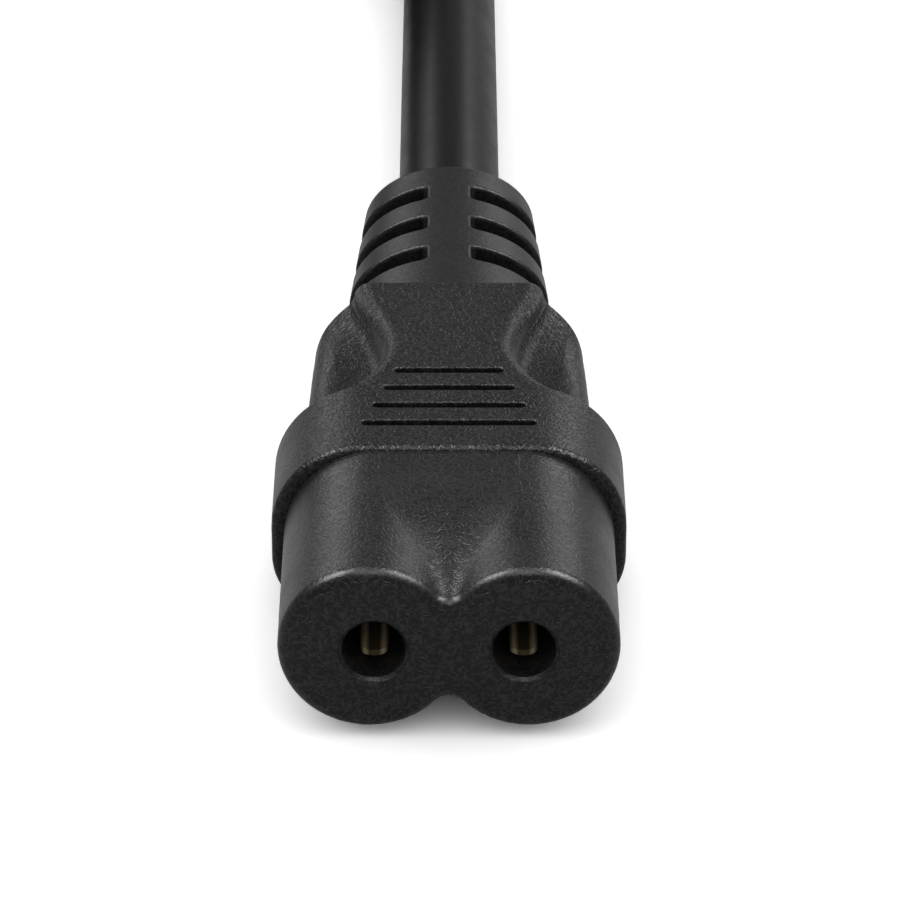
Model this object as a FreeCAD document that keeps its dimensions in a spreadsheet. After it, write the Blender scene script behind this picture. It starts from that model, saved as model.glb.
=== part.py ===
"""Figure eight mains lead: a two-pole connector with its strain relief, cord and two-pin plug.

Millimetres. +Z is up and the connector's pin holes face -Y. The origin is under the middle of the
connector, on the surface that it lies on.
"""
import FreeCAD, Part
import math
import os
import Sketcher

Vector = FreeCAD.Vector
AHEAD = Vector(0, 1, 0)
QUARTER_TURN = FreeCAD.Rotation(Vector(0, 0, 1), 90)

DRIVING_DIMENSIONS = [
    ("pin_pitch", 8.6, "spacing of the two pin holes"),
    ("hole_radius", 1.84, "pin hole in the nose"),
    ("hole_lead_in", 0.2, "chamfer at the mouth of a pin hole"),
    ("nose_half_width", 9.82, "nose, half its width"),
    ("lobe_radius", 5.24, "lobe of the figure eight at the face"),
    ("heel_radius", 5.64, "round side of the nose at the collar"),
    ("nose_length", 13.6, "face to collar"),
    ("nose_edge", 0.77, "rounding round the face"),
    ("root_length", 5.0, "part of the nose that the grip holds"),
    ("root_inset", 1.0, "root smaller than the nose all round"),
    ("collar_half_width", 10.58, "collar, half its width"),
    ("collar_half_height", 5.85, "collar, half its height"),
    ("collar_top_corner", 5.6, "rounding of the collar's upper corners"),
    ("collar_low_corner", 4.1, "rounding of the collar's lower corners"),
    ("collar_end", 21.3, "rear of the collar from the face"),
    ("collar_edge", 0.5, "rounding of the collar's front rim"),
    ("rim_edge", 0.25, "rounding of the collar's rear rim"),
    ("deck_edge", 1.0, "rounding of the deck's edges behind the collar"),
    ("deck_cove", 1.5, "hollow rounding from the deck's walls to the flanks"),
    ("grip_end", 35.6, "rear of the grip from the face"),
    ("grip_edge", 0.3, "rounding of the grip's rear rim"),
    ("flank_half_width", 8.8, "hollow flanks beside the deck, half their width"),
    ("flank_height", 5.0, "hollow flanks under the deck, half their height"),
    ("flank_crown", 2.6, "flat of the flanks under the deck, half its width"),
    ("flank_roll", 1.5, "rounding at the top of a hollow flank"),
    ("flank_waist", 27.0, "narrowest deck from the face"),
    ("grip_end_half_width", 8.5, "rear of the grip, half its width"),
    ("grip_end_radius", 5.5, "rear of the grip, round sides"),
    ("groove_first", 16.8, "first grip groove from the face"),
    ("groove_pitch", 2.25, "spacing of the grip grooves"),
    ("groove_width", 0.6, "width of a grip groove"),
    ("groove_depth", 0.5, "depth of a grip groove"),
    ("groove_edge", 0.15, "rounding of a grip groove's rim"),
    ("groove_half_length", 5.2, "first groove, half its length"),
    ("groove_step", 0.63, "each groove shorter than the last, at each end"),
    ("boot_end", 56.5, "rear of the strain relief from the face"),
    ("boot_base_half_width", 7.02, "strain relief at the grip, half its width"),
    ("boot_base_half_height", 4.9, "strain relief at the grip, half its height"),
    ("boot_tip_half_width", 5.62, "strain relief at its tip, half its width"),
    ("boot_tip_half_height", 4.15, "strain relief at its tip, half its height"),
    ("boot_tip_edge", 0.5, "rounding of the strain relief's tip"),
    ("boot_root_length", 4.2, "part of the strain relief that the grip holds"),
    ("boot_root_inset", 1.1, "root of the strain relief smaller than its base"),
    ("slot_first", 42.5, "first slot from the face"),
    ("slot_pitch", 4.85, "spacing of the slots"),
    ("slot_width", 2.0, "width of a slot"),
    ("slot_corner", 0.4, "rounding of a slot's inner corners"),
    ("slot_edge", 0.25, "rounding of a slot's rim"),
    ("spine_half_width", 1.45, "spine between the slots, half its width"),
    ("contact_radius", 1.2, "inside of a contact sleeve"),
    ("contact_wall", 0.35, "sheet thickness of a contact"),
    ("contact_start", 6.4, "front of the sleeve from the face"),
    ("contact_end", 12.6, "back of the sleeve from the face"),
    ("tongue_start", 2.2, "tip of the lead-in tongue from the face"),
    ("tongue_drop", 1.23, "top of the lead-in tongue below the contact's axis"),
    ("tongue_overlap", 2.0, "part of the tongue along the sleeve"),
    ("tongue_half_width", 0.85, "lead-in tongue, half its width"),
    ("seam_width", 0.4, "open seam along the rolled sleeve"),
    ("barrel_wall", 0.3, "sheet thickness of the crimp barrel"),
    ("barrel_end", 17.2, "back of the crimp barrel from the face"),
    ("strand_radius", 0.6, "copper strands of one core"),
    ("core_radius", 0.9, "insulation of one core"),
    ("core_spacing", 2.6, "the two cores in the sheath, centre to centre"),
    ("sheath_start", 31.0, "end of the sheath inside the grip, from the face"),
    ("cord_radius", 3.4, "round cord, outside"),
    ("hank_run", 84.0, "straight part of the hank's runs"),
    ("hank_centre_x", -27.2, "middle of the hank across the lead"),
    ("hank_centre_y", 155.0, "middle of the hank along the lead"),
    ("fold_diameters", 3.0, "inner fold of the hank, radius in cord diameters"),
    ("tie_width", 14.0, "tie along the cord"),
    ("tie_thickness", 0.9, "tie strap"),
    ("plug_rear_y", 151.0, "end of the plug's strain relief"),
    ("plug_boot_length", 20.0, "strain relief of the plug"),
    ("plug_boot_base", 5.6, "strain relief at the plug, radius"),
    ("plug_boot_tip", 4.6, "strain relief at its tip, radius"),
    ("plug_length", 36.0, "plug body along the lead"),
    ("plug_half_width", 17.65, "plug face, half its width"),
    ("plug_half_height", 6.85, "plug face, half its height"),
    ("plug_neck_half_width", 7.4, "plug body at the cord, half its width"),
    ("plug_neck_half_height", 6.0, "plug body at the cord, half its height"),
    ("plug_edge", 0.8, "rounding round the plug's face"),
    ("plug_pin_pitch", 18.6, "spacing of the plug's pins"),
    ("plug_pin_radius", 2.0, "bare plug pin"),
    ("plug_pin_length", 19.0, "plug pin beyond the face"),
    ("plug_sleeve_radius", 1.7, "sleeved part of a plug pin"),
    ("plug_sleeve_length", 10.0, "sleeved part of a plug pin"),
    ("plug_pin_core", 1.3, "plug pin inside its sleeve, radius"),
    ("bridge_depth", 7.0, "bridge that holds the plug's pins"),
    ("bridge_half_width", 13.4, "bridge, half its width"),
    ("bridge_half_height", 4.4, "bridge, half its height"),
]

# Routes of the cord where it isn't wound, as points of its centre line.
LEAD_ROUTE = [
    (0.0, 2.75, 5.85),
    (0.0, 37.75, 5.85),
    (0.0, 77.75, 3.4),
    (0.0, 113.0, 3.4),
]
TAIL_ROUTE = [
    (-3.4, 113.0, 17.0),
    (-3.4, 127.0, 17.0),
    (-3.4, 143.0, 20.45),
    (-3.4, 159.0, 20.45),
]

# Sections of the nose: distance from the face, and the rounding of the notch between the lobes.
NOTCH_RUN_OUT = [(0.77, 1.0), (2.4, 2.2), (4.4, 5.0), (6.8, 14.0), (9.6, 60.0), (13.6, 300.0)]

# Plan of one edge of the deck, as distances from the middle and the face: out of the collar's rear
# rim, in to the waist, and out again to the rear.
DECK_PLAN = [
    (8.4, 20.9), (7.1, 21.35), (6.2, 21.95), (5.5, 22.8), (4.95, 23.75), (4.52, 24.85), (4.24, 25.85),
    (4.12, 26.8), (4.2, 28.0), (4.55, 29.8), (4.95, 31.4), (5.4, 32.7), (5.75, 33.9), (5.95, 36.2),
]

# How far, in degrees, the outline of a flank has turned down after its roll and after its own arc.
HOLLOW_TURNS = (40, 20)
ROUND_TURNS = (40, 60)

doc = FreeCAD.newDocument("FigureEightLead")
sheet = doc.addObject("Spreadsheet::Sheet", "dims")
for row, (alias, value, meaning) in enumerate(DRIVING_DIMENSIONS, start=1):
    sheet.set(f"A{row}", meaning)
    sheet.set(f"B{row}", str(value))
    sheet.setAlias(f"B{row}", alias)
doc.recompute()

sub_parts = []


def size(alias):
    return float(getattr(sheet, alias))


def bind(obj, **expressions):
    """Bind properties to sheet expressions; a double underscore stands for a dot."""
    for path, expression in expressions.items():
        obj.setExpression(path.replace("__", "."), expression)
    return obj


def add(kind, name, **expressions):
    return bind(doc.addObject(kind, name), **expressions)


def shown(obj, label, frame):
    """Register a finished sub-part under its label, in the frame of the end that it belongs to."""
    obj.Label = label
    bind(obj, **frame)
    sub_parts.append(obj)
    return obj


CONNECTOR_FRAME = {
    "Placement__Base__y": "-dims.boot_end / 2",
    "Placement__Base__z": "dims.collar_half_height",
}
HANK_FRAME = {
    "Placement__Base__x": "dims.hank_centre_x",
    "Placement__Base__y": "dims.hank_centre_y",
}
PLUG_FRAME = {
    "Placement__Base__x": "dims.hank_centre_x + (2 * dims.fold_diameters + 1) * dims.cord_radius",
    "Placement__Base__y": "dims.plug_rear_y",
    "Placement__Base__z": "4 * dims.cord_radius + dims.plug_half_height",
}
SIDES = (("left", -1), ("right", 1))


# Sketches

def origin_plane(body, role):
    return next(f for f in body.Origin.OriginFeatures if f.Role == role)


def body_sketch(body, name, role, offset="0"):
    """A sketch of a body on an origin plane, moved along the plane's normal."""
    sketch = body.newObject("Sketcher::SketchObject", name)
    sketch.AttachmentSupport = [(origin_plane(body, role), "")]
    sketch.MapMode = "FlatFace"
    return bind(sketch, AttachmentOffset__Base__z=offset)


def section_sketch(body, name, station):
    """A cross-section of the lead at a distance along it: x stays x, the sketch's y is z."""
    return body_sketch(body, name, "XZ_Plane", f"-({station})")


def drive(sketch, constraint, name, expression):
    """Add a driving constraint and bind it to the sheet."""
    index = sketch.addConstraint(constraint)
    sketch.renameConstraint(index, name)
    sketch.setExpression(f"Constraints.{name}", expression)


def draw_stadium(sketch, half_span, radius, span_expression, radius_expression, tag):
    """A slot with round ends about the sketch's origin, its long way along the sketch's x."""
    flat = Vector(0, 0, 1)
    left_circle = Part.Circle(Vector(-half_span, 0, 0), flat, radius)
    right_circle = Part.Circle(Vector(half_span, 0, 0), flat, radius)
    left = sketch.addGeometry(Part.ArcOfCircle(left_circle, math.pi / 2, 3 * math.pi / 2))
    right = sketch.addGeometry(Part.ArcOfCircle(right_circle, -math.pi / 2, math.pi / 2))
    top = sketch.addGeometry(Part.LineSegment(Vector(half_span, radius, 0), Vector(-half_span, radius, 0)))
    low = sketch.addGeometry(Part.LineSegment(Vector(-half_span, -radius, 0), Vector(half_span, -radius, 0)))
    for first, first_end, second, second_end in (
            (right, 2, top, 1), (top, 2, left, 1), (left, 2, low, 1), (low, 2, right, 1)):
        sketch.addConstraint(Sketcher.Constraint("Tangent", first, first_end, second, second_end))
    sketch.addConstraint(Sketcher.Constraint("Equal", left, right))
    sketch.addConstraint(Sketcher.Constraint("Horizontal", top))
    sketch.addConstraint(Sketcher.Constraint("Symmetric", left, 3, right, 3, -1, 1))
    drive(sketch, Sketcher.Constraint("DistanceX", left, 3, right, 3, 2 * half_span),
          f"{tag}_span", span_expression)
    drive(sketch, Sketcher.Constraint("Radius", right, radius), f"{tag}_radius", radius_expression)


def stadium_section(body, name, station, half_width, half_height):
    sketch = section_sketch(body, name, station)
    draw_stadium(sketch, value_of(half_width) - value_of(half_height), value_of(half_height),
                 f"2 * ({half_width} - {half_height})", half_height, "section")
    return sketch


def draw_profile(sketch, points):
    """A closed outline of straight lines; each point is a pair of sheet expressions."""
    corners = [Vector(value_of(a), value_of(b), 0) for a, b in points]
    lines = []
    for here, there in zip(corners, corners[1:] + corners[:1]):
        lines.append(sketch.addGeometry(Part.LineSegment(here, there)))
    for line, following in zip(lines, lines[1:] + lines[:1]):
        sketch.addConstraint(Sketcher.Constraint("Coincident", line, 2, following, 1))
    for index, (line, corner) in enumerate(zip(lines, corners)):
        for kind, axis, value, expression in (
                ("DistanceX", "x", corner.x, points[index][0]),
                ("DistanceY", "y", corner.y, points[index][1])):
            if expression == "0":
                own_axis = -2 if axis == "x" else -1
                sketch.addConstraint(Sketcher.Constraint("PointOnObject", line, 1, own_axis))
            else:
                drive(sketch, Sketcher.Constraint(kind, -1, 1, line, 1, value),
                      f"corner_{index}_{axis}", expression)


def value_of(expression):
    """The number that a sheet expression stands for, for a sketch's first placing."""
    return float(sheet.evalExpression(expression.replace("dims.", "")))


def free_sketch(name):
    """A sketch outside any body, flat on the ground plane."""
    return doc.addObject("Sketcher::SketchObject", name)


# Small operations that every piece uses

def cut(name, base, tool):
    result = add("Part::Cut", name)
    result.Base = base
    result.Tool = tool
    return result


def cut_all(name, base, tools):
    for index, tool in enumerate(tools):
        base = cut(f"{name}_{index}", base, tool)
    return base


def fuse(name, shapes):
    result = add("Part::MultiFuse", name)
    result.Shapes = shapes
    return result


def soften(kind, name, base, amount, chosen):
    """Round or chamfer the edges of a solid that a test picks."""
    doc.recompute()
    result = add(kind, name)
    result.Base = base
    result.Edges = [(number, amount, amount)
                    for number, edge in enumerate(base.Shape.Edges, start=1) if chosen(edge)]
    return result


def lies_at(edge, station):
    """Whether an edge lies in the cross-section at a station along the lead."""
    box = edge.BoundBox
    near = 1e-3
    return abs(box.YMin - station) < near and abs(box.YMax - station) < near


def section(name, wire):
    feature = doc.addObject("Part::Feature", name)
    feature.Shape = wire
    return feature


def loft(name, sections, ruled):
    result = add("Part::Loft", name)
    result.Sections = sections
    result.Solid = True
    result.Ruled = ruled
    return result


def along_lead(cylinder):
    """Turn a cylinder from +Z to +Y; its base is then its lowest station."""
    cylinder.Placement = FreeCAD.Placement(Vector(), FreeCAD.Rotation(Vector(1, 0, 0), -90))
    return cylinder


def rod(name, radius, start, end, x="0"):
    """A round bar along the lead between two stations."""
    bar = add("Part::Cylinder", name, Radius=radius, Height=f"({end}) - ({start})")
    along_lead(bar)
    return bind(bar, Placement__Base__x=x, Placement__Base__y=start)


# Routes and tubes

def rounded_route(points):
    """Straight runs joined by tangent arcs, each as large as its two runs allow."""
    stops = [Vector(*point) for point in points]
    edges = []
    radii = []
    here = stops[0]
    for before, corner, after in zip(stops, stops[1:], stops[2:]):
        into, onward = corner - before, after - corner
        reach = 0.45 * min(into.Length, onward.Length)
        half_turn = into.getAngle(onward) / 2
        radii.append(reach / math.tan(half_turn))
        into.normalize()
        onward.normalize()
        arc_start, arc_end = corner - into * reach, corner + onward * reach
        inward = (onward - into).normalize()
        depth = radii[-1] * (1 / math.cos(half_turn) - 1)
        edges.append(Part.LineSegment(here, arc_start).toShape())
        edges.append(Part.Arc(arc_start, corner + inward * depth, arc_end).toShape())
        here = arc_end
    edges.append(Part.LineSegment(here, stops[-1]).toShape())
    return Part.Wire(edges), radii


def tube(name, points, radius):
    """A solid tube along a route, with its volume compared with its section times its length."""
    path, radii = rounded_route(points)
    first_run = Vector(*points[1]) - Vector(*points[0])
    ring = Part.Wire(Part.Circle(Vector(*points[0]), first_run, radius).toShape())
    feature = doc.addObject("Part::Feature", name)
    feature.Shape = path.makePipeShell([ring], True, False)
    expected = math.pi * radius ** 2 * path.Length
    print(f"{name}: length {path.Length:.1f}, radii {[round(r, 1) for r in radii]}, "
          f"volume {feature.Shape.Volume / expected:.4f} of section times length")
    return feature


# Nose: two lobes at the face, with notches that widen and run out towards the collar

def nose_outline(station, lobe, notch, inset=0):
    """Eight arcs in the same order at every station, so that the loft joins lobe to lobe."""
    offset = size("nose_half_width") - lobe
    lobe -= inset
    notch += inset
    rise = math.sqrt((lobe + notch) ** 2 - offset ** 2)
    turn = math.atan2(rise, -offset)
    touch_x, touch_z = offset + lobe * math.cos(turn), lobe * math.sin(turn)
    middle = (math.pi / 2 + turn) / 2
    cheek_x, cheek_z = offset + lobe * math.cos(middle), lobe * math.sin(middle)

    def arc(*points):
        return Part.Arc(*[Vector(x, station, z) for x, z in points]).toShape()

    def across(side):
        left, right = (-touch_x, side * touch_z), (touch_x, side * touch_z)
        return [arc((-offset, side * lobe), (-cheek_x, side * cheek_z), left),
                arc(left, (0, side * (rise - notch)), right),
                arc(right, (cheek_x, side * cheek_z), (offset, side * lobe))]

    right_end = arc((offset, lobe), (offset + lobe, 0), (offset, -lobe))
    left_end = arc((-offset, -lobe), (-offset - lobe, 0), (-offset, lobe))
    return Part.Wire(across(1) + [right_end] + across(-1)[::-1] + [left_end])


def make_nose():
    """The hard insert: nose, the root that the grip is moulded round, and the two pin holes."""
    edge, face_lobe = size("nose_edge"), size("lobe_radius")
    rim = []
    for step in range(5):
        turn = step * math.pi / 8
        rim.append(nose_outline(edge * (1 - math.cos(turn)), face_lobe, NOTCH_RUN_OUT[0][1],
                                edge * (1 - math.sin(turn))))
    sides = []
    for station, notch in NOTCH_RUN_OUT:
        share = (station - edge) / (size("nose_length") - edge)
        sides.append(nose_outline(station, face_lobe + share * (size("heel_radius") - face_lobe), notch))
    shells = []
    for name, outlines in (("rim", rim), ("sides", sides)):
        stations = [section(f"nose_{name}_{index}", outline) for index, outline in enumerate(outlines)]
        shells.append(loft(f"nose_{name}", stations, ruled=False))

    root_body = doc.addObject("PartDesign::Body", "nose_root_body")
    root_outline = stadium_section(root_body, "nose_root_outline", "dims.nose_length",
                                   "(dims.nose_half_width - dims.root_inset)",
                                   "(dims.lobe_radius - dims.root_inset)")
    root = root_body.newObject("PartDesign::Pad", "nose_root")
    root.Profile = root_outline
    bind(root, Length="dims.root_length")
    root.Reversed = True

    blank = fuse("nose_blank", shells + [root_body])
    holes = [rod(f"pin_hole_{side}", "dims.hole_radius", "-1", "dims.nose_length + dims.root_length + 1",
                 f"{sign} * dims.pin_pitch / 2") for side, sign in SIDES]
    drilled = cut_all("nose_drilled", blank, holes)
    nose = soften("Part::Chamfer", "nose", drilled, size("hole_lead_in"),
                  lambda edge: lies_at(edge, 0) and edge.BoundBox.XLength < 2.1 * size("hole_radius"))
    shown(nose, "nose_insert", CONNECTOR_FRAME)
    return blank


# Grip: collar, waisted deck with hollow flanks, and grip grooves

def grip_outline(station, half_width, height, deck, roll, roll_angle, flank_angle):
    """Twelve edges: flat deck, rolled edge, flank and one round side, mirrored both ways.

    The angles are how far the outline has turned down at the end of the roll and of the flank.
    A flank that turns back up is hollow. Its radius and the side's follow from the two angles.
    """
    a, b = math.radians(roll_angle), math.radians(flank_angle)
    wide = half_width - deck - roll * math.sin(a)
    high = -height - roll * (math.cos(a) - 1)
    xa, xb = math.sin(b) - math.sin(a), 1 - math.sin(b)
    za, zb = math.cos(b) - math.cos(a), -math.cos(b)
    scale = xa * zb - xb * za
    flank = (wide * zb - xb * high) / scale
    side = (xa * high - wide * za) / scale

    def bend(start, radius, first, last):
        angles = (first, (first + last) / 2, last)
        return [(start[0] + radius * (math.sin(t) - math.sin(first)),
                 start[1] + radius * (math.cos(t) - math.cos(first))) for t in angles]

    rolled = bend((deck, height), roll, 0, a)
    flanked = bend(rolled[-1], flank, a, b)
    end_x, end_z = flanked[-1]

    def arc(points, x_sign, z_sign):
        return Part.Arc(*[Vector(x_sign * x, station, z_sign * z) for x, z in points]).toShape()

    def flat(z):
        return Part.LineSegment(Vector(-deck, station, z), Vector(deck, station, z)).toShape()

    def flank_edges(x_sign):
        round_side = [(end_x, end_z), (half_width, 0), (end_x, -end_z)]
        return [arc(rolled, x_sign, 1), arc(flanked, x_sign, 1), arc(round_side, x_sign, 1),
                arc(flanked, x_sign, -1), arc(rolled, x_sign, -1)]

    return Part.Wire([flat(height)] + flank_edges(1) + [flat(-height)] + flank_edges(-1)[::-1])


def collar_outline(station):
    """Wide round upper corners and tighter lower ones, with flat top, underside and sides."""
    wide, high = size("collar_half_width"), size("collar_half_height")
    top, low = size("collar_top_corner"), size("collar_low_corner")
    slant = math.sqrt(0.5)

    def at(x, z):
        return Vector(x, station, z)

    def corner(x_sign, z_sign, radius):
        inset = radius * (1 - slant)
        return Part.Arc(at(x_sign * (wide - radius), z_sign * high),
                        at(x_sign * (wide - inset), z_sign * (high - inset)),
                        at(x_sign * wide, z_sign * (high - radius))).toShape()

    def line(start, end):
        return Part.LineSegment(at(*start), at(*end)).toShape()

    edges = [
        line((top - wide, high), (wide - top, high)), corner(1, 1, top),
        line((wide, high - top), (wide, low - high)), corner(1, -1, low),
        line((wide - low, -high), (low - wide, -high)), corner(-1, -1, low),
        line((-wide, low - high), (-wide, high - top)), corner(-1, 1, top),
    ]
    return Part.Wire(Part.__sortEdges__(edges))


def bar_along(name, profile, way, length):
    result = add("Part::Extrusion", name, LengthFwd=length)
    result.Base = profile
    result.DirMode = "Custom"
    result.Dir = way
    result.Solid = True
    return result


def make_deck():
    """The waisted deck that runs from the collar to the rear, inside the collar's own outline."""
    level = -size("collar_half_height")

    def edge_of_deck(sign):
        points = [Vector(sign * x, y, level) for x, y in DECK_PLAN[::sign]]
        spline = Part.BSplineCurve()
        spline.interpolate(points)
        return spline.toShape()

    def across(point):
        x, y = point
        return Part.LineSegment(Vector(-x, y, level), Vector(x, y, level)).toShape()

    outline = [across(DECK_PLAN[0]), edge_of_deck(1), across(DECK_PLAN[-1]), edge_of_deck(-1)]
    plan = section("deck_plan", Part.Wire(Part.__sortEdges__(outline)))
    slab = bar_along("deck_slab", plan, Vector(0, 0, 1), "2 * dims.collar_half_height")
    rolled = soften("Part::Fillet", "deck_rolled", slab, size("deck_edge"),
                    lambda edge: edge.BoundBox.YLength > 1 and edge.BoundBox.ZLength < 0.1)
    outside = bar_along("grip_bar", section("grip_bar_outline", collar_outline(size("nose_length"))), AHEAD,
                        "dims.grip_end - dims.nose_length")
    deck = add("Part::Common", "deck")
    deck.Base = rolled
    deck.Tool = outside
    return slab, deck


def make_collar():
    front = section("collar_front", collar_outline(size("nose_length")))
    blank = bar_along("collar_blank", front, AHEAD, "dims.collar_end - dims.nose_length")
    rounded = soften("Part::Fillet", "collar_front_rounded", blank, size("collar_edge"),
                     lambda edge: lies_at(edge, size("nose_length")))
    return soften("Part::Fillet", "collar", rounded, size("rim_edge"),
                  lambda edge: lies_at(edge, size("collar_end")))


def make_flanks():
    """The body under the deck: hollow beside the waist and plainly rounded at the rear."""
    wide, high = size("flank_half_width"), size("flank_height")
    crown, roll = size("flank_crown"), size("flank_roll")
    rear_wide, rear_round = size("grip_end_half_width"), size("grip_end_radius")
    return loft("flanks", [
        section("flank_front", grip_outline(size("collar_end") - 1, wide, high, crown, roll, *HOLLOW_TURNS)),
        section("flank_middle", grip_outline(size("flank_waist"), wide, high, crown, roll, *HOLLOW_TURNS)),
        section("flank_rear", grip_outline(size("grip_end"), rear_wide, rear_round, rear_wide - rear_round,
                                           rear_round, *ROUND_TURNS)),
    ], ruled=False)


def mirrored(name, whole):
    """The left half of a solid and its mirror image, as one solid."""
    box = add("Part::Box", f"{name}_left_side", Length="2 * dims.collar_half_width", Width="dims.boot_end",
              Height="4 * dims.collar_half_height", Placement__Base__x="-2 * dims.collar_half_width",
              Placement__Base__z="-2 * dims.collar_half_height")
    left = add("Part::Common", f"{name}_left_half")
    left.Base = whole
    left.Tool = box
    right = add("Part::Mirroring", f"{name}_right_half")
    right.Source = left
    right.Normal = Vector(1, 0, 0)
    halves = fuse(f"{name}_halves", [left, right])
    halves.Refine = True
    return halves


def make_grip_outside():
    collar, flanks = make_collar(), make_flanks()
    slab, deck = make_deck()
    whole = fuse("grip_whole", [collar, deck, flanks])
    whole.Refine = True
    doc.recompute()
    level = size("collar_half_height")
    walls = slab.Shape.Shells[0]

    def at_foot_of_wall(edge):
        box = edge.BoundBox
        low = max(abs(box.ZMin), abs(box.ZMax)) < level - size("deck_edge") - 0.01
        return low and box.YLength > 1 and all(
            walls.distToShape(Part.Vertex(point))[0] < 0.01 for point in edge.discretize(5))

    coved = soften("Part::Fillet", "grip_coved", whole, size("deck_cove"), at_foot_of_wall)
    rear = soften("Part::Fillet", "grip_rear_rounded", mirrored("grip", coved), size("grip_edge"),
                  lambda edge: lies_at(edge, size("grip_end")))
    grooved = cut_all("grip_grooved", rear, grip_grooves())
    first, last = size("groove_first"), size("groove_first") + 3 * size("groove_pitch")

    def on_groove_rim(edge):
        box = edge.BoundBox
        across = max(-box.XMin, box.XMax) < size("groove_half_length") + 0.1
        along = box.YMin > first - size("groove_width") and box.YMax < last + size("groove_width")
        return across and along and min(abs(box.ZMin), abs(box.ZMax)) > level - 0.1

    return soften("Part::Fillet", "grip_finished", grooved, size("groove_edge"), on_groove_rim)


def grip_grooves():
    """Four shrinking grooves across the deck and the same four underneath."""
    grooves = []
    for number in range(4):
        station = f"dims.groove_first + {number} * dims.groove_pitch"
        half_length = f"(dims.groove_half_length - {number} * dims.groove_step)"
        for name, sign in (("top", 1), ("under", -1)):
            body = doc.addObject("PartDesign::Body", f"groove_{name}_{number}_body")
            level = f"{sign} * dims.collar_half_height"
            outline = body_sketch(body, f"groove_{name}_{number}", "XY_Plane", level)
            bind(outline, AttachmentOffset__Base__y=station)
            radius = size("groove_width") / 2
            half_span = value_of(half_length) - radius
            draw_stadium(outline, half_span, radius, f"2 * {half_length} - dims.groove_width",
                         "dims.groove_width / 2", "groove")
            bar = body.newObject("PartDesign::Pad", f"groove_{name}_{number}_bar")
            bar.Profile = outline
            bar.Midplane = True
            bind(bar, Length="2 * dims.groove_depth")
            grooves.append(body)
    return grooves


# Strain relief: oval, tapered, with slots on both sides of a spine above and below

def draw_ellipse(sketch, half_width, half_height, width_expression, height_expression):
    """An upright oval about the sketch's origin."""
    long_axis, short_axis = Vector(half_width, 0, 0), Vector(0, half_height, 0)
    oval = sketch.addGeometry(Part.Ellipse(long_axis, short_axis, Vector(0, 0, 0)))
    sketch.exposeInternalGeometry(oval)
    major, minor = oval + 1, oval + 2
    sketch.addConstraint(Sketcher.Constraint("Coincident", oval, 3, -1, 1))
    sketch.addConstraint(Sketcher.Constraint("Horizontal", major))
    drive(sketch, Sketcher.Constraint("Distance", major, 2 * half_width), "width", width_expression)
    drive(sketch, Sketcher.Constraint("Distance", minor, 2 * half_height), "height", height_expression)


def boot_sketch(body, name, station, width, height):
    sketch = section_sketch(body, name, station)
    draw_ellipse(sketch, value_of(width), value_of(height), f"2 * ({width})", f"2 * ({height})")
    return sketch


def make_strain_relief(lead):
    body = doc.addObject("PartDesign::Body", "boot_body")
    base = boot_sketch(body, "boot_base", "dims.grip_end",
                       "dims.boot_base_half_width", "dims.boot_base_half_height")
    tip = boot_sketch(body, "boot_tip", "dims.boot_end",
                      "dims.boot_tip_half_width", "dims.boot_tip_half_height")
    taper = body.newObject("PartDesign::AdditiveLoft", "boot_taper")
    taper.Profile = base
    taper.Sections = [tip]
    root_outline = boot_sketch(body, "boot_root_outline", "dims.grip_end",
                               "dims.boot_base_half_width - dims.boot_root_inset",
                               "dims.boot_base_half_height - dims.boot_root_inset / 2")
    root = body.newObject("PartDesign::Pad", "boot_root")
    root.Profile = root_outline
    bind(root, Length="dims.boot_root_length")

    rounded = soften("Part::Fillet", "boot_rounded", body, size("boot_tip_edge"),
                     lambda edge: lies_at(edge, size("boot_end")))
    doc.recompute()
    slotted = cut_all("boot_slotted", rounded, boot_slots())
    first, last = size("slot_first"), size("slot_first") + 2 * size("slot_pitch")
    outside = rounded.Shape.Shells[0]

    def on_slot_rim(edge):
        box = edge.BoundBox
        along = box.YMin > first - size("slot_width") and box.YMax < last + size("slot_width")
        upright = box.XLength + box.YLength < 0.05
        return along and not upright and all(
            outside.distToShape(Part.Vertex(point))[0] < 1e-3 for point in edge.discretize(5))

    rimmed = soften("Part::Fillet", "boot_rimmed", slotted, size("slot_edge"), on_slot_rim)
    placed = bind(rimmed, **CONNECTOR_FRAME)
    return shown(cut("boot", placed, lead), "strain_relief_boot", {})


def boot_slots():
    """Slots seen from above as bars with rounded inner corners, right through to the far side."""
    slots = []
    reach = size("boot_base_half_width") + 1
    for number in range(3):
        station = f"dims.slot_first + {number} * dims.slot_pitch - dims.slot_width / 2"
        for side, sign in SIDES:
            start = "dims.spine_half_width" if sign > 0 else f"-dims.spine_half_width - {reach}"
            slot = add("Part::Box", f"slot_{number}_{side}", Width="dims.slot_width",
                       Height="3 * dims.boot_base_half_height", Placement__Base__x=start,
                       Placement__Base__y=station, Placement__Base__z="-1.5 * dims.boot_base_half_height")
            slot.Length = reach
            inner = sign * size("spine_half_width")
            slots.append(soften("Part::Fillet", f"slot_{number}_{side}_rounded", slot, size("slot_corner"),
                                lambda edge, x=inner: abs(edge.CenterOfMass.x - x) < 1e-3
                                and edge.BoundBox.ZLength > 1))
    return slots


# Contacts: a rolled sleeve with an open seam, a flat lead-in tongue and a crimp barrel

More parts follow.
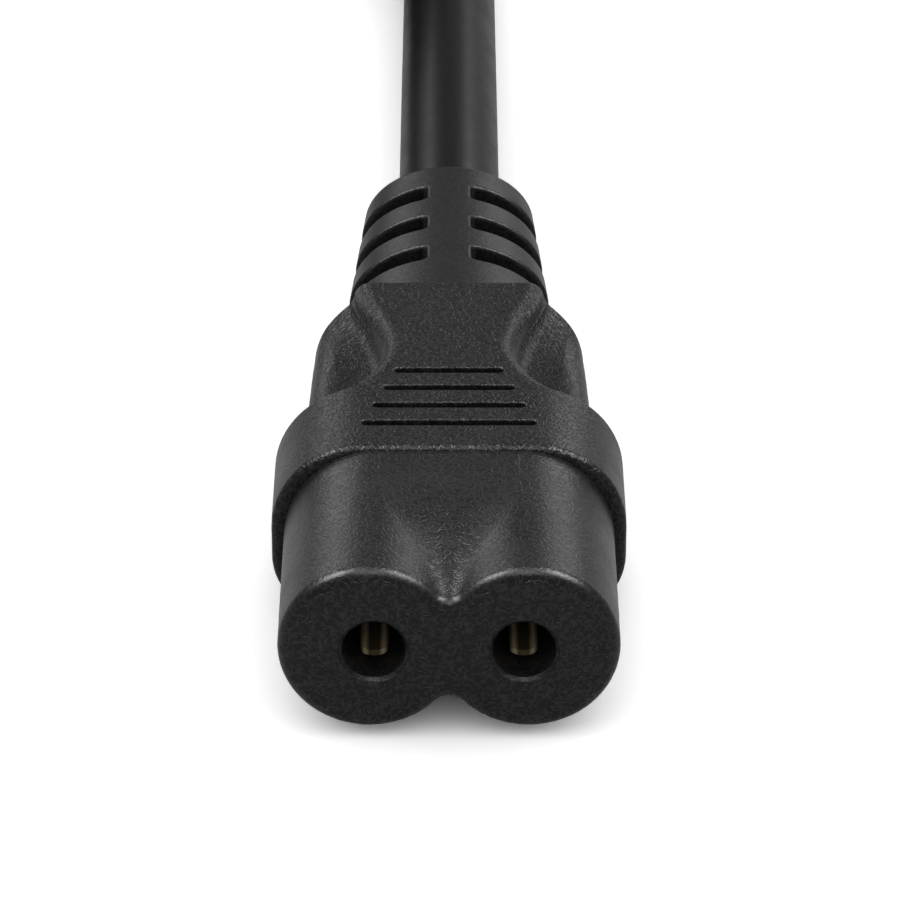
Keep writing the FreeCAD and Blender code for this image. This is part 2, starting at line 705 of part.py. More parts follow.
def make_contact(side, sign):
    profile = free_sketch(f"contact_{side}_profile")
    bore, wall = "dims.contact_radius", "(dims.contact_radius + dims.contact_wall)"
    barrel = "(dims.strand_radius + dims.barrel_wall)"
    shelf = "(dims.contact_end + dims.barrel_wall)"
    draw_profile(profile, [
        (bore, "dims.contact_start"), (wall, "dims.contact_start"), (wall, "dims.contact_end"),
        ("dims.hole_radius", "dims.contact_end"), ("dims.hole_radius", shelf), (barrel, shelf),
        (barrel, "dims.barrel_end"), ("dims.strand_radius", "dims.barrel_end"),
        ("dims.strand_radius", "dims.contact_end"), (bore, "dims.contact_end"),
    ])
    turned = add("Part::Revolution", f"contact_{side}_turned")
    turned.Source = profile
    turned.Axis = AHEAD
    turned.Angle = 360
    turned.Solid = True

    seam = add("Part::Box", f"contact_{side}_seam", Length="dims.seam_width", Height="dims.hole_radius",
               Width="dims.contact_end - dims.contact_start", Placement__Base__x="-dims.seam_width / 2",
               Placement__Base__y="dims.contact_start")
    sleeve = cut(f"contact_{side}_sleeve", turned, seam)

    tongue = doc.addObject("PartDesign::Body", f"tongue_{side}")
    plan = body_sketch(tongue, f"tongue_{side}_plan", "XY_Plane", "-dims.tongue_drop")
    span = "(dims.contact_start + dims.tongue_overlap - dims.tongue_start - 2 * dims.tongue_half_width)"
    draw_stadium(plan, value_of(span) / 2, size("tongue_half_width"), span,
                 "dims.tongue_half_width", "tongue")
    plan.AttachmentOffset = FreeCAD.Placement(Vector(), QUARTER_TURN)
    bind(plan, AttachmentOffset__Base__z="-dims.tongue_drop",
         AttachmentOffset__Base__y="(dims.tongue_start + dims.contact_start + dims.tongue_overlap) / 2")
    strip = tongue.newObject("PartDesign::Pad", f"tongue_{side}_strip")
    strip.Profile = plan
    strip.Reversed = True
    bind(strip, Length="dims.contact_wall")

    contact = fuse(f"contact_{side}_whole", [sleeve, tongue])
    frame = dict(CONNECTOR_FRAME, Placement__Base__x=f"{sign} * dims.pin_pitch / 2")
    return shown(contact, f"contact_{side}", frame)


# Cores: copper strands in their insulation, from the cord's end to a contact or a pin

def make_core(name, bend_points, bare_x, bare_start, bare_end, frame):
    """A core along its bend, with the bare strands running on straight to what holds them."""
    blank = tube(f"{name}_blank", bend_points, size("core_radius"))
    bend = tube(f"{name}_bend", bend_points, size("strand_radius"))
    bare = rod(f"{name}_bare", "dims.strand_radius", bare_start, bare_end, str(bare_x))
    strands = fuse(f"{name}_strands", [bend, bare])
    covering = cut(f"{name}_covering", blank, bend)
    end, side = name.split("core_")
    shown(strands, f"{end}core_strands_{side}", frame)
    shown(covering, f"{end}core_insulation_{side}", frame)
    return [blank, bare]


def connector_core(side, sign):
    apart, together = sign * size("pin_pitch") / 2, sign * size("core_spacing") / 2
    stripped, sheath = size("barrel_end") + 0.4, size("sheath_start")
    bend = [(apart, stripped, 0), (apart, stripped + 3.2, 0),
            (together, sheath - 3.8, 0), (together, sheath, 0)]
    return make_core(f"core_{side}", bend, apart, "dims.contact_end + dims.barrel_wall",
                     "dims.barrel_end + 0.4", CONNECTOR_FRAME)


def plug_core(side, sign):
    apart, together = sign * size("plug_pin_pitch") / 2, sign * size("core_spacing") / 2
    stripped = value_of(PLUG_PIN_END) - 1.5
    sheath = TAIL_ROUTE[-1][1] - size("plug_rear_y")
    bend = [(together, sheath, 0), (together, sheath + 12, 0),
            (apart, stripped - 8, 0), (apart, stripped, 0)]
    return make_core(f"plug_core_{side}", bend, apart, str(stripped), PLUG_PIN_END, PLUG_FRAME)


# Hank: the wound cord as one ring of runs, with the last half turn on top

def make_hank(lead):
    fold = "2 * dims.fold_diameters * dims.cord_radius"
    body = doc.addObject("PartDesign::Body", "hank_body")
    outline = body_sketch(body, "hank_outline", "XY_Plane")
    for tag, reach in (("outer", f"{fold} + 3 * dims.cord_radius"), ("inner", f"{fold} - dims.cord_radius")):
        draw_stadium(outline, size("hank_run") / 2, value_of(reach), "dims.hank_run", reach, tag)
    runs = body.newObject("PartDesign::Pad", "hank_runs")
    runs.Profile = outline
    bind(runs, Length="4 * dims.cord_radius")

    top_outer = add("Part::Cylinder", "top_turn_outer", Radius=f"{fold} + 2 * dims.cord_radius",
                    Height="2 * dims.cord_radius")
    top_outer.Angle = 180
    top_inner = add("Part::Cylinder", "top_turn_inner", Radius=fold, Height="2 * dims.cord_radius")
    top_turn = cut("top_turn", top_outer, top_inner)
    top_turn.Placement = FreeCAD.Placement(Vector(), QUARTER_TURN)
    bind(top_turn, Placement__Base__x="-dims.hank_run / 2", Placement__Base__z="4 * dims.cord_radius")

    wound = fuse("hank_wound", [body, top_turn])
    wound.Placement = FreeCAD.Placement(Vector(), QUARTER_TURN)
    bind(wound, **HANK_FRAME)
    under_tie = tie_box("under_tie", "0", "0", "dims.tie_thickness")
    return shown(cut_all("hank", wound, [lead, under_tie]), "cord_hank", {})


def tie_box(name, spread, bottom, top):
    """A block across the bundle of runs that the tie holds, wider by a spread on both sides."""
    bundle = "dims.hank_centre_x - (2 * dims.fold_diameters + 3) * dims.cord_radius"
    return add("Part::Box", name, Length=f"4 * dims.cord_radius + 2 * ({spread})", Width="dims.tie_width",
               Height=f"({top}) - ({bottom})", Placement__Base__x=f"{bundle} - ({spread})",
               Placement__Base__y="dims.hank_centre_y - dims.tie_width / 2", Placement__Base__z=bottom)


def make_tie():
    outside = tie_box("tie_outside", "dims.tie_thickness", "0", "4 * dims.cord_radius + dims.tie_thickness")
    rounded = soften("Part::Fillet", "tie_rounded", outside, 0.8 * size("tie_thickness"),
                     lambda edge: edge.BoundBox.YLength > 1)
    inside = tie_box("tie_inside", "0", "dims.tie_thickness", "4 * dims.cord_radius")
    return shown(cut("tie", rounded, inside), "cord_tie", {})


# Plug at the far end

PLUG_FACE = "(dims.plug_boot_length + dims.plug_length)"
BRIDGE_REAR = f"({PLUG_FACE} - dims.bridge_depth)"
PLUG_PIN_END = f"({BRIDGE_REAR} - 4)"
SLEEVE_END = f"({PLUG_FACE} + dims.plug_sleeve_length)"


def make_plug_body(tools):
    body = doc.addObject("PartDesign::Body", "plug_outside")
    shoulder = f"{PLUG_FACE} - dims.plug_length / 3"
    neck = stadium_section(body, "plug_neck", "dims.plug_boot_length",
                           "dims.plug_neck_half_width", "dims.plug_neck_half_height")
    wide = stadium_section(body, "plug_shoulder", shoulder, "dims.plug_half_width", "dims.plug_half_height")
    taper = body.newObject("PartDesign::AdditiveLoft", "plug_taper")
    taper.Profile = neck
    taper.Sections = [wide]
    end = stadium_section(body, "plug_face", shoulder, "dims.plug_half_width", "dims.plug_half_height")
    front = body.newObject("PartDesign::Pad", "plug_front")
    front.Profile = end
    front.Reversed = True
    bind(front, Length="dims.plug_length / 3")
    rounded = soften("Part::Fillet", "plug_rounded", body, size("plug_edge"),
                     lambda edge: lies_at(edge, value_of(PLUG_FACE)))
    return shown(cut_all("plug_body", rounded, tools), "plug_body", PLUG_FRAME)


def make_bridge():
    body = doc.addObject("PartDesign::Body", "bridge_body")
    outline = stadium_section(body, "bridge_outline", BRIDGE_REAR,
                              "dims.bridge_half_width", "dims.bridge_half_height")
    block = body.newObject("PartDesign::Pad", "bridge_block")
    block.Profile = outline
    block.Reversed = True
    bind(block, Length="dims.bridge_depth")
    sleeves = []
    bores = []
    for side, sign in SIDES:
        x = f"{sign} * dims.plug_pin_pitch / 2"
        sleeves.append(rod(f"sleeve_{side}", "dims.plug_sleeve_radius", BRIDGE_REAR, SLEEVE_END, x))
        bores.append(rod(f"sleeve_bore_{side}", "dims.plug_pin_core", PLUG_PIN_END, f"{SLEEVE_END} + 1", x))
    sleeved = fuse("bridge_sleeved", [body] + sleeves)
    shown(cut_all("bridge", sleeved, bores), "plug_pin_bridge", PLUG_FRAME)
    return body


def make_plug_pin(side, sign):
    profile = free_sketch(f"plug_pin_{side}_profile")
    tip = f"({PLUG_FACE} + dims.plug_pin_length)"
    draw_profile(profile, [
        ("0", PLUG_PIN_END), ("dims.plug_pin_core", PLUG_PIN_END), ("dims.plug_pin_core", SLEEVE_END),
        ("dims.plug_pin_radius", SLEEVE_END), ("dims.plug_pin_radius", tip), ("0", tip),
    ])
    turned = add("Part::Revolution", f"plug_pin_{side}_turned")
    turned.Source = profile
    turned.Axis = AHEAD
    turned.Angle = 360
    turned.Solid = True
    pin = soften("Part::Fillet", f"plug_pin_{side}_rounded", turned, 0.8 * size("plug_pin_radius"),
                 lambda edge: lies_at(edge, value_of(tip)))
    frame = dict(PLUG_FRAME)
    frame["Placement__Base__x"] += f" + {sign} * dims.plug_pin_pitch / 2"
    shown(pin, f"plug_pin_{side}", frame)
    return rod(f"plug_pin_{side}_seat", "dims.plug_pin_core", PLUG_PIN_END, BRIDGE_REAR,
               f"{sign} * dims.plug_pin_pitch / 2")


def make_plug_boot(tail, tools):
    cone = add("Part::Cone", "plug_boot_cone", Radius1="dims.plug_boot_tip", Radius2="dims.plug_boot_base",
               Height="dims.plug_boot_length")
    along_lead(cone)
    rounded = soften("Part::Fillet", "plug_boot_rounded", cone, size("boot_tip_edge"),
                     lambda edge: lies_at(edge, 0))
    placed = bind(cut_all("plug_boot_cored", rounded, tools), **PLUG_FRAME)
    return shown(cut("plug_boot_bored", placed, tail), "plug_boot", {})


# The whole lead

cord_lead = shown(tube("lead_tube", LEAD_ROUTE, size("cord_radius")), "cord_lead", {})
cord_tail = shown(tube("tail_tube", TAIL_ROUTE, size("cord_radius")), "cord_tail", {})
nose_blank = make_nose()
boot_blank = make_strain_relief(cord_lead)
connector_cores = []
for side_name, side_sign in SIDES:
    make_contact(side_name, side_sign)
    connector_cores.append(connector_core(side_name, side_sign)[0])
grip_outside = cut_all("grip_cored", make_grip_outside(), [nose_blank] + connector_cores)
bind(grip_outside, **CONNECTOR_FRAME)
shown(cut_all("grip", grip_outside, [boot_blank, cord_lead]), "grip_overmould", {})
make_hank(cord_lead)
make_tie()
plug_cores = []
pin_seats = []
for side_name, side_sign in SIDES:
    plug_cores += plug_core(side_name, side_sign)
    pin_seats.append(make_plug_pin(side_name, side_sign))
bridge_block = make_bridge()
make_plug_body([bridge_block] + pin_seats + plug_cores)
make_plug_boot(cord_tail, [plug_cores[0], plug_cores[2]])

doc.recompute()
for item in doc.Objects:
    if "Invalid" in item.State or "Error" in item.State:
        raise RuntimeError(f"{item.Name} did not compute: {item.State}")
os.makedirs("parts", exist_ok=True)
for item in sub_parts:
    shape = item.Shape
    if shape.isNull() or not shape.isValid() or len(shape.Solids) != 1:
        raise RuntimeError(f"{item.Label} is not one valid solid: {len(shape.Solids)}")
    shape.exportStep(f"parts/{item.Label}.step")
    box = shape.BoundBox
    print(f"{item.Label}: {shape.Volume:.1f} mm3, x {box.XMin:.2f} to {box.XMax:.2f}, "
          f"y {box.YMin:.2f} to {box.YMax:.2f}, z {box.ZMin:.2f} to {box.ZMax:.2f}")
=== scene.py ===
"""Figure eight mains connector on a round black cord, set up as a studio product picture."""
import math

import bmesh
import bpy
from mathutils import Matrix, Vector


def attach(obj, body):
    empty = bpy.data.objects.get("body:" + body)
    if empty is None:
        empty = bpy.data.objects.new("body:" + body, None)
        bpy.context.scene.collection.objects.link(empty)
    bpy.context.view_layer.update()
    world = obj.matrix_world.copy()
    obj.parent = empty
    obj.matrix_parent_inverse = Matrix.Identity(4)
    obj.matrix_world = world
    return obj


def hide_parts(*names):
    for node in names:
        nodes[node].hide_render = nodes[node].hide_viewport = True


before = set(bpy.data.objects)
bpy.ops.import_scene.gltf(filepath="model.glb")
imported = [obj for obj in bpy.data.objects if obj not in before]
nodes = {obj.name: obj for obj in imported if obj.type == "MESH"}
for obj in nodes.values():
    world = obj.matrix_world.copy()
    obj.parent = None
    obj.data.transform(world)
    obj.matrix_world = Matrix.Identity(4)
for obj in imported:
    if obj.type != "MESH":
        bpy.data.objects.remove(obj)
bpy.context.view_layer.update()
scene = bpy.context.scene
MM = 0.001

# Camera, from the pin holes, the collar and the strain relief in the photograph

VIEW_ELEVATION = math.radians(28.47)
VIEW_DISTANCE = 0.29679
LOOK_POINT = Vector((0.00006, -0.00415, 0.00585))
FOCAL_LENGTH, SENSOR_WIDTH = 193.3, 36
NEAREST_SEEN = 0.01


def place_camera():
    lens = bpy.data.cameras.new("studio_camera")
    lens.lens = FOCAL_LENGTH
    lens.sensor_width = SENSOR_WIDTH
    lens.clip_start = NEAREST_SEEN
    camera = bpy.data.objects.new("studio_camera", lens)
    back = Vector((0, -math.cos(VIEW_ELEVATION), math.sin(VIEW_ELEVATION)))
    camera.location = LOOK_POINT + back * VIEW_DISTANCE
    camera.rotation_euler = (math.pi / 2 - VIEW_ELEVATION, 0, 0)
    scene.collection.objects.link(camera)
    scene.camera = camera


# Cord, in millimetres: out of the strain relief, wound into a hank behind the view, and into the plug

CORD_RADIUS = 3.4
LEAD_ROUTE = [
    (0.0, 2.75, 5.85),
    (0.0, 37.75, 5.85),
    (0.0, 77.75, 3.4),
    (0.0, 113.0, 3.4),
]
TAIL_ROUTE = [
    (-3.4, 113.0, 17.0),
    (-3.4, 127.0, 17.0),
    (-3.4, 143.0, 20.45),
    (-3.4, 159.0, 20.45),
]
HANK_X = -27.2
NEAR_FOLD, FAR_FOLD = 113.0, 197.0
NEAR_RUN, FAR_RUN = 141.0, 169.0
INNER, OUTER, CROWN = 20.4, 27.2, 23.8
LOW, HIGH, TOP = 3.4, 10.2, 17.0
FOLD_STEPS = 8
NEVER = (2.0, 3.0)
ROUND_STEPS, LENGTH_STEPS = 8, 12


def eased(value, start, end):
    """0 before start, 1 after end and a smooth rise between."""
    t = min(max((value - start) / (end - start), 0.0), 1.0)
    return t * t * (3 - 2 * t)


def fold_points(centre_y, first_angle, radius_at, height_at):
    """Half a turn about a fold's centre; the points stand a little wide, as the line cuts inside."""
    step = math.pi / FOLD_STEPS
    wide = 1 / math.cos(step / 2)
    points = []
    for index in range(FOLD_STEPS):
        share = (index + 0.5) / FOLD_STEPS
        angle = first_angle + math.pi * share
        reach = radius_at(share) * wide
        points.append((HANK_X + reach * math.cos(angle),
                       centre_y + reach * math.sin(angle),
                       height_at(share)))
    return points


def hank_turn(column, layer, next_column, next_layer, shift, climb):
    """One turn: up the right run, round the far fold, down the left run and round the near fold.

    shift and climb are the parts of the near fold in which the cord moves over and up.
    """
    points = [(HANK_X + column, NEAR_RUN, layer), (HANK_X + column, FAR_RUN, layer)]
    points += fold_points(FAR_FOLD, 0.0, lambda t: column, lambda t: layer)
    points += [(HANK_X - column, FAR_RUN, layer), (HANK_X - column, NEAR_RUN, layer)]
    points += fold_points(
        NEAR_FOLD, math.pi,
        lambda t: column + (next_column - column) * eased(t, *shift),
        lambda t: layer + (next_layer - layer) * eased(t, *climb))
    return points


def cord_route():
    turns = [
        (OUTER, LOW, INNER, LOW, (0.6, 1.0), NEVER),
        (INNER, LOW, INNER, HIGH, NEVER, (0.3, 0.7)),
        (INNER, HIGH, OUTER, HIGH, (0.0, 0.4), NEVER),
        (OUTER, HIGH, CROWN, TOP, (-0.35, 0.05), (-0.35, 0.05)),
    ]
    route = list(LEAD_ROUTE)
    for turn in turns:
        route += hank_turn(*turn)
    return route + TAIL_ROUTE


def make_cord():
    curve = bpy.data.curves.new("mains_cord", "CURVE")
    curve.dimensions = "3D"
    curve.bevel_depth = CORD_RADIUS * MM
    curve.bevel_resolution = ROUND_STEPS
    curve.use_fill_caps = True
    curve.resolution_u = LENGTH_STEPS
    route = cord_route()
    line = curve.splines.new("NURBS")
    line.points.add(len(route) - 1)
    for point, (x, y, z) in zip(line.points, route):
        point.co = (x * MM, y * MM, z * MM, 1)
    line.order_u = 3
    line.use_endpoint_u = True
    line.use_smooth = True
    cord = bpy.data.objects.new("mains_cord", curve)
    scene.collection.objects.link(cord)
    return cord


# Shared effects

def new_group(name, inputs, outputs):
    group = bpy.data.node_groups.new(name, "ShaderNodeTree")
    for label, kind in inputs:
        group.interface.new_socket(label, in_out="INPUT", socket_type=kind)
    for label, kind in outputs:
        group.interface.new_socket(label, in_out="OUTPUT", socket_type=kind)
    return group, group.nodes.new("NodeGroupInput"), group.nodes.new("NodeGroupOutput")


def math_node(tree, operation, first, second):
    node = tree.nodes.new("ShaderNodeMath")
    node.operation = operation
    for socket, value in zip(node.inputs, (first, second)):
        if isinstance(value, (int, float)):
            socket.default_value = value
        else:
            tree.links.new(value, socket)
    return node.outputs[0]


def noise(tree, vector, scale, detail, roughness, distortion=0.0):
    node = tree.nodes.new("ShaderNodeTexNoise")
    node.inputs["Detail"].default_value = detail
    node.inputs["Roughness"].default_value = roughness
    node.inputs["Distortion"].default_value = distortion
    tree.links.new(vector, node.inputs["Vector"])
    if isinstance(scale, (int, float)):
        node.inputs["Scale"].default_value = scale
    else:
        tree.links.new(scale, node.inputs["Scale"])
    return node.outputs["Fac"]


def band(tree, value, centre, half_width):
    """1 in the middle of a band of values, falling to 0 at its edges."""
    away = math_node(tree, "ABSOLUTE", math_node(tree, "SUBTRACT", value, centre), 0.0)
    inside = math_node(tree, "SUBTRACT", 1.0, math_node(tree, "DIVIDE", away, half_width))
    return math_node(tree, "MAXIMUM", inside, 0.0)


def ramp(tree, value, start, end, low=0.0, high=1.0):
    """low before start, high after end and a straight change between."""
    node = tree.nodes.new("ShaderNodeMapRange")
    limits = (("From Min", start), ("From Max", end), ("To Min", low), ("To Max", high))
    for label, number in limits:
        node.inputs[label].default_value = number
    tree.links.new(value, node.inputs["Value"])
    return node.outputs["Result"]


def along(tree, place, axis):
    node = tree.nodes.new("ShaderNodeSeparateXYZ")
    tree.links.new(place, node.inputs[0])
    return node.outputs[axis]


STROKE_CURL, STROKE_WIDTH = 0.6, 0.14
STROKE_BREAKS = (0.20, 0.38)
TOOTH_FINENESS, TOOTH_HEIGHT = 3.1, 0.45
MOTTLE_FINENESS = 0.12


def moulded_grain():
    """Spark-eroded mould grain: short curled strokes that stand up, with a finer tooth between."""
    group, given, out = new_group(
        "moulded_grain",
        [("Vector", "NodeSocketVector"), ("Scale", "NodeSocketFloat")],
        [("Height", "NodeSocketFloat"), ("Strokes", "NodeSocketFloat"), ("Mottle", "NodeSocketFloat")])
    vector, scale = given.outputs["Vector"], given.outputs["Scale"]
    curls = noise(group, vector, scale, 0.0, 0.5, STROKE_CURL)
    breaks = noise(group, vector, scale, 1.0, 0.5)
    kept = ramp(group, breaks, *STROKE_BREAKS)
    strokes = math_node(group, "MULTIPLY", band(group, curls, 0.5, STROKE_WIDTH), kept)
    tooth = noise(group, vector, math_node(group, "MULTIPLY", scale, TOOTH_FINENESS), 1.0, 0.5)
    height = math_node(group, "ADD", strokes, math_node(group, "MULTIPLY", tooth, TOOTH_HEIGHT))
    mottle = noise(group, vector, math_node(group, "MULTIPLY", scale, MOTTLE_FINENESS), 4.0, 0.6)
    for label, value in (("Height", height), ("Strokes", strokes), ("Mottle", mottle)):
        group.links.new(value, out.inputs[label])
    return group


# Finishes

def surface_material(name, colour, roughness, specular=0.5, metallic=0.0):
    material = bpy.data.materials.new(name)
    material.use_nodes = True
    tree = material.node_tree
    shader = tree.nodes["Principled BSDF"]
    shader.inputs["Base Color"].default_value = (*colour, 1)
    shader.inputs["Roughness"].default_value = roughness
    shader.inputs["Specular IOR Level"].default_value = specular
    shader.inputs["Metallic"].default_value = metallic
    place = tree.nodes.new("ShaderNodeTexCoord").outputs["Object"]
    return material, tree, shader, place


def blend_colour(tree, shader, factor, first, second):
    node = tree.nodes.new("ShaderNodeMix")
    node.data_type = "RGBA"
    node.inputs["A"].default_value = (*first, 1)
    node.inputs["B"].default_value = (*second, 1)
    tree.links.new(factor, node.inputs["Factor"])
    tree.links.new(node.outputs["Result"], shader.inputs["Base Color"])


def drift_gloss(tree, shader, drift, smoothest, roughest):
    """Roughness that follows a noise, whose values lie mostly between 0.3 and 0.7."""
    tree.links.new(ramp(tree, drift, 0.3, 0.7, smoothest, roughest), shader.inputs["Roughness"])


GRAIN = moulded_grain()
GRAIN_SCALE = 3000.0
GLOSS_DRIFT = 0.04


def grained(name, dark, pale, roughness, depth, specular=0.5, scale=GRAIN_SCALE, relief=None):
    """Moulded plastic: grain in the surface, and tone and gloss that drift a little over it.

    depth is in millimetres. relief takes the tree, the place and the grain's height, and returns
    the whole surface's height.
    """
    material, tree, shader, place = surface_material(name, dark, roughness, specular)
    grain = tree.nodes.new("ShaderNodeGroup")
    grain.node_tree = GRAIN
    grain.inputs["Scale"].default_value = scale
    tree.links.new(place, grain.inputs["Vector"])
    blend_colour(tree, shader, grain.outputs["Strokes"], dark, pale)
    drift_gloss(tree, shader, grain.outputs["Mottle"], roughness - GLOSS_DRIFT, roughness + GLOSS_DRIFT)
    bump = tree.nodes.new("ShaderNodeBump")
    bump.inputs["Strength"].default_value = 1.0
    bump.inputs["Distance"].default_value = depth * MM
    height = grain.outputs["Height"]
    if relief:
        height = relief(tree, place, height)
    tree.links.new(height, bump.inputs["Height"])
    tree.links.new(bump.outputs["Normal"], shader.inputs["Normal"])
    return material


NOSE_GRAIN, GRIP_GRAIN, BOOT_GRAIN = 0.010, 0.017, 0.006
NOSE_FACE, COLLAR_FACE = -0.02825, -0.01465
FACE_START, FACE_END = NOSE_FACE + 0.00001, NOSE_FACE + 0.00004
FACE_GRAIN = 4.0
RIM_WIDTH, RIM_CALM = 0.0003, 0.8
BEAD_SETBACK, BEAD_WIDTH, BEAD_HEIGHT = 0.00035, 0.00008, 2.0


def nose_relief(tree, place, height):
    """Bolder grain on the face, calmer grain on its rim, and a fine bead in front of the collar."""
    station = along(tree, place, "Y")
    strength = ramp(tree, station, FACE_START, FACE_END, FACE_GRAIN, 1.0)
    rim = math_node(tree, "MULTIPLY", band(tree, station, NOSE_FACE + RIM_WIDTH, RIM_WIDTH), RIM_CALM)
    strength = math_node(tree, "MULTIPLY", strength, math_node(tree, "SUBTRACT", 1.0, rim))
    grain = math_node(tree, "MULTIPLY", height, strength)
    bead = band(tree, station, COLLAR_FACE - BEAD_SETBACK, BEAD_WIDTH)
    return math_node(tree, "ADD", grain, math_node(tree, "MULTIPLY", bead, BEAD_HEIGHT))


DECK_EDGE = 0.0040
HOLLOW_TOP = (0.0103, 0.0116)
HOLLOW_FRONT = (-0.0070, -0.0062)
HOLLOW_RISE = 0.5 / (GRIP_GRAIN * MM)


def grip_relief(tree, place, height):
    """The hollows beside the deck take the light as flatter faces than the solid has."""
    outwards = math_node(tree, "ABSOLUTE", along(tree, place, "X"), 0.0)
    below_deck = ramp(tree, along(tree, place, "Z"), *HOLLOW_TOP, 1.0, 0.0)
    behind_collar = ramp(tree, along(tree, place, "Y"), *HOLLOW_FRONT)
    past_edge = math_node(tree, "MAXIMUM", math_node(tree, "SUBTRACT", outwards, DECK_EDGE), 0.0)
    rise = math_node(tree, "MULTIPLY", past_edge, HOLLOW_RISE)
    hollow = math_node(tree, "MULTIPLY", below_deck, behind_collar)
    return math_node(tree, "ADD", height, math_node(tree, "MULTIPLY", rise, hollow))


STAIN_SCALE = 600.0


def stains(tree, place):
    return noise(tree, place, STAIN_SCALE, 4.0, 0.6)


def metal(name, bright, dull, roughness):
    material, tree, shader, place = surface_material(name, bright, roughness, metallic=1.0)
    stain = stains(tree, place)
    blend_colour(tree, shader, stain, dull, bright)
    drift_gloss(tree, shader, stain, roughness - 0.08, roughness + 0.1)
    return material


# Contact colours: a pale brass for the painted highlight along the strip's two edges, and a dark brass
# for painted shade on the rest.
PAINTED_HIGHLIGHT_BRASS, PAINTED_SHADE_BRASS = (0.94, 0.75, 0.48), (0.10, 0.075, 0.04)
HIGHLIGHT_EDGES, HIGHLIGHT_WIDTH = (0.00375, 0.00485), 0.00026


def contact_brass():
    """Brass darkened all over as painted shade, with a painted highlight along the two rolled edges of
    the strip.
    """
    material, tree, shader, place = surface_material("contact_brass", PAINTED_HIGHLIGHT_BRASS, 0.45, metallic=0.5)
    # The two bands across the strip get the painted highlight colour; everywhere else gets the painted
    # shade colour.
    across = math_node(tree, "ABSOLUTE", along(tree, place, "X"), 0.0)
    highlight_bands = [band(tree, across, middle, HIGHLIGHT_WIDTH) for middle in HIGHLIGHT_EDGES]
    blend_colour(tree, shader, math_node(tree, "MAXIMUM", *highlight_bands), PAINTED_SHADE_BRASS, PAINTED_HIGHLIGHT_BRASS)
    drift_gloss(tree, shader, stains(tree, place), 0.38, 0.52)
    return material


NEARLY_BLACK = (0.0065, 0.0065, 0.0067)
WORN_BLACK = (0.019, 0.019, 0.0194)
BOOT_BLACK = (0.014, 0.014, 0.014)
CORD_BLACK = (0.010, 0.010, 0.010)
TIE_BLACK, TIE_WORN = (0.02, 0.02, 0.02), (0.03, 0.03, 0.03)
BRIDGE_BLACK, BRIDGE_WORN = (0.012, 0.012, 0.012), (0.02, 0.02, 0.02)
BLUE, PALE_BLUE = (0.03, 0.12, 0.45), (0.05, 0.16, 0.5)
BROWN, PALE_BROWN = (0.16, 0.06, 0.03), (0.2, 0.09, 0.04)
COPPER, DULL_COPPER = (0.8, 0.4, 0.22), (0.6, 0.28, 0.14)
NICKEL, DULL_NICKEL = (0.74, 0.72, 0.68), (0.64, 0.62, 0.58)

FINISHES = {
    "nose_insert": grained("nose_black_pvc", NEARLY_BLACK, WORN_BLACK, 0.36, NOSE_GRAIN,
                           specular=0.13, relief=nose_relief),
    "grip_overmould": grained("grip_black_pvc", NEARLY_BLACK, WORN_BLACK, 0.36, GRIP_GRAIN,
                              specular=0.10, relief=grip_relief),
    "strain_relief_boot": grained("boot_black_pvc", NEARLY_BLACK, BOOT_BLACK, 0.40, BOOT_GRAIN,
                                  specular=0.10),
    "contact": contact_brass(),
    "core_insulation_left": grained("core_blue_pvc", BLUE, PALE_BLUE, 0.4, 0.01),
    "core_insulation_right": grained("core_brown_pvc", BROWN, PALE_BROWN, 0.4, 0.01),
    "core_strands": metal("copper_strands", COPPER, DULL_COPPER, 0.3),
    "cord": grained("cord_black_pvc", NEARLY_BLACK, CORD_BLACK, 0.36, 0.002,
                    specular=0.04, scale=3300.0),
    "cord_tie": grained("tie_black_pvc", TIE_BLACK, TIE_WORN, 0.5, 0.02),
    "plug_body": grained("plug_black_pvc", NEARLY_BLACK, WORN_BLACK, 0.36, GRIP_GRAIN, specular=0.10),
    "plug_boot": grained("plug_boot_black_pvc", NEARLY_BLACK, BOOT_BLACK, 0.40, BOOT_GRAIN,
                         specular=0.10),
    "plug_pin_bridge": grained("pin_bridge_black", BRIDGE_BLACK, BRIDGE_WORN, 0.4, 0.01),
    "plug_pin": metal("plug_pin_nickel", NICKEL, DULL_NICKEL, 0.32),
}


def finish_for(node):
    """The longest finish name that a node's name holds."""
    fitting = [name for name in FINISHES if name in node]
    return FINISHES[max(fitting, key=len)]


def dress_nodes():
    for name, obj in nodes.items():
        obj.data.materials.clear()
        obj.data.materials.append(finish_for(name))


# Studio

FLOOR_HALF = 3.0
FLOOR_WHITE, CAMERA_LAYER = 0.9, 0.77


def white_coat(tree, level):
    coat = tree.nodes.new("ShaderNodeBsdfDiffuse")
    coat.inputs["Color"].default_value = (level, level, level, 1)
    return coat.outputs[0]


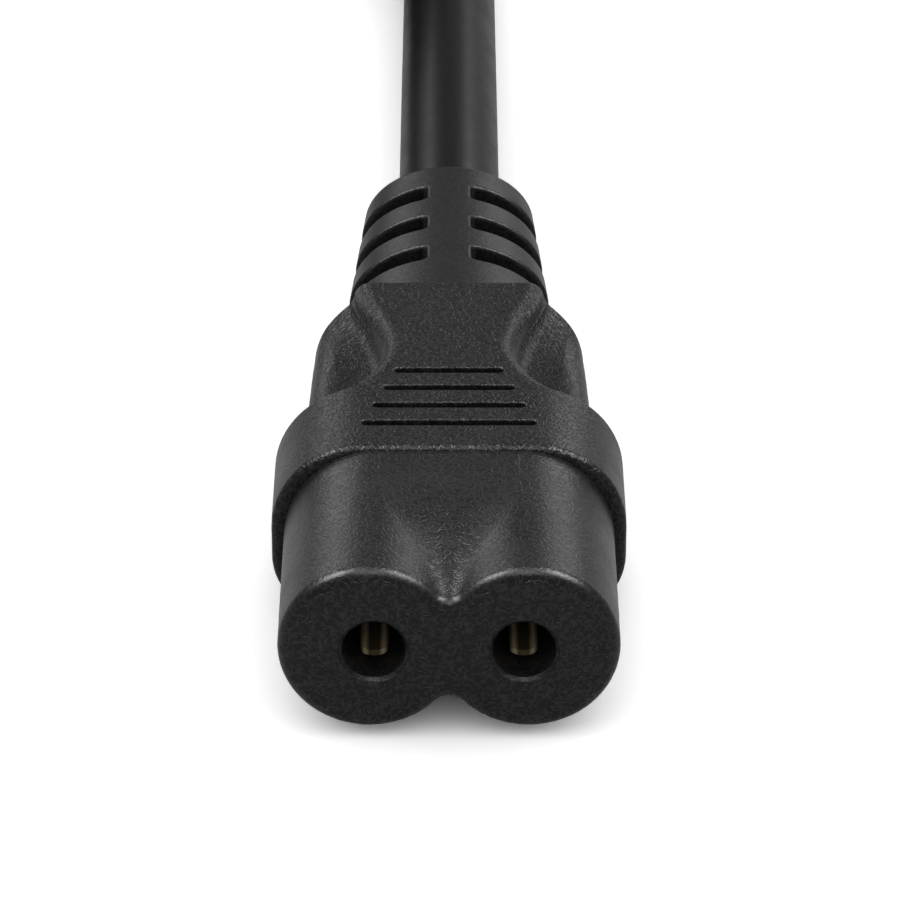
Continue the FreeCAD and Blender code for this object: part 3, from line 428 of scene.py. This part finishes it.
def plain_floor():
    """A white sweep that keeps the part's shadow; the part's gloss sees it white too.

    The camera sees two layers of white, so that the far end of the shadow fades out.
    """
    grid = bmesh.new()
    bmesh.ops.create_grid(grid, x_segments=1, y_segments=1, size=FLOOR_HALF)
    mesh = bpy.data.meshes.new("studio_floor")
    grid.to_mesh(mesh)
    grid.free()
    floor = bpy.data.objects.new("studio_floor", mesh)
    scene.collection.objects.link(floor)
    material = bpy.data.materials.new("white_sweep")
    material.use_nodes = True
    tree = material.node_tree
    tree.nodes.clear()
    out = tree.nodes.new("ShaderNodeOutputMaterial")
    ray = tree.nodes.new("ShaderNodeLightPath")
    layers = tree.nodes.new("ShaderNodeAddShader")
    for socket in layers.inputs:
        tree.links.new(white_coat(tree, CAMERA_LAYER), socket)
    choice = tree.nodes.new("ShaderNodeMixShader")
    seen = math_node(tree, "MAXIMUM", ray.outputs["Is Camera Ray"], ray.outputs["Is Transmission Ray"])
    tree.links.new(seen, choice.inputs["Fac"])
    tree.links.new(white_coat(tree, FLOOR_WHITE), choice.inputs[1])
    tree.links.new(layers.outputs[0], choice.inputs[2])
    tree.links.new(choice.outputs[0], out.inputs["Surface"])
    mesh.materials.append(material)


# Lamps: azimuth from behind the part, elevation, distance, width, height, brightness

SIDE_LAMPS = {
    "back": (25, 21, 0.5, 0.18, 0.14, 4.5),
    "top": (86, 58, 0.42, 0.22, 0.18, 48.0),
}
MIDDLE_LAMPS = {
    "overhead": (180, 78, 0.42, 0.1, 0.1, 12.0),
    "front": (180, 62, 0.42, 0.06, 0.06, 65.0),
}
LAMP_AIM = Vector((0, 0, 0.006))
GLOSS_DIMMING = 0.6


def softbox(name, azimuth, elevation, distance, width, height, brightness):
    """A soft lamp that shows in the gloss alone."""
    turn, rise = math.radians(azimuth), math.radians(elevation)
    way = Vector((math.sin(turn) * math.cos(rise), math.cos(turn) * math.cos(rise), math.sin(rise)))
    lamp = bpy.data.lights.new(name, "AREA")
    lamp.shape = "RECTANGLE"
    lamp.size, lamp.size_y = width, height
    lamp.energy = brightness * math.pi * width * height
    box = bpy.data.objects.new(name, lamp)
    box.location = LAMP_AIM + way * distance
    box.rotation_euler = (-way).to_track_quat("-Z", "Y").to_euler()
    box.visible_diffuse = False
    scene.collection.objects.link(box)


def studio_light():
    """Lamps for the gloss, and a white room that lights the part and is dimmer in its gloss."""
    for side, sign in (("left", -1), ("right", 1)):
        for name, (azimuth, *rest) in SIDE_LAMPS.items():
            softbox(f"{name}_{side}_softbox", sign * azimuth, *rest)
    for name, values in MIDDLE_LAMPS.items():
        softbox(f"{name}_softbox", *values)
    world = bpy.data.worlds.new("white_room")
    world.use_nodes = True
    tree = world.node_tree
    ray = tree.nodes.new("ShaderNodeLightPath")
    dimmed = math_node(tree, "MULTIPLY", ray.outputs["Is Glossy Ray"], GLOSS_DIMMING)
    room = tree.nodes["Background"]
    tree.links.new(math_node(tree, "SUBTRACT", 1.0, dimmed), room.inputs["Strength"])
    room.inputs["Color"].default_value = (1, 1, 1, 1)
    scene.world = world


place_camera()
dress_nodes()
cord = make_cord()
cord.data.materials.append(FINISHES["cord"])
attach(cord, "root")
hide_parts("cord_lead", "cord_hank", "cord_tail")
plain_floor()
studio_light()
scene.view_settings.view_transform = "Standard"
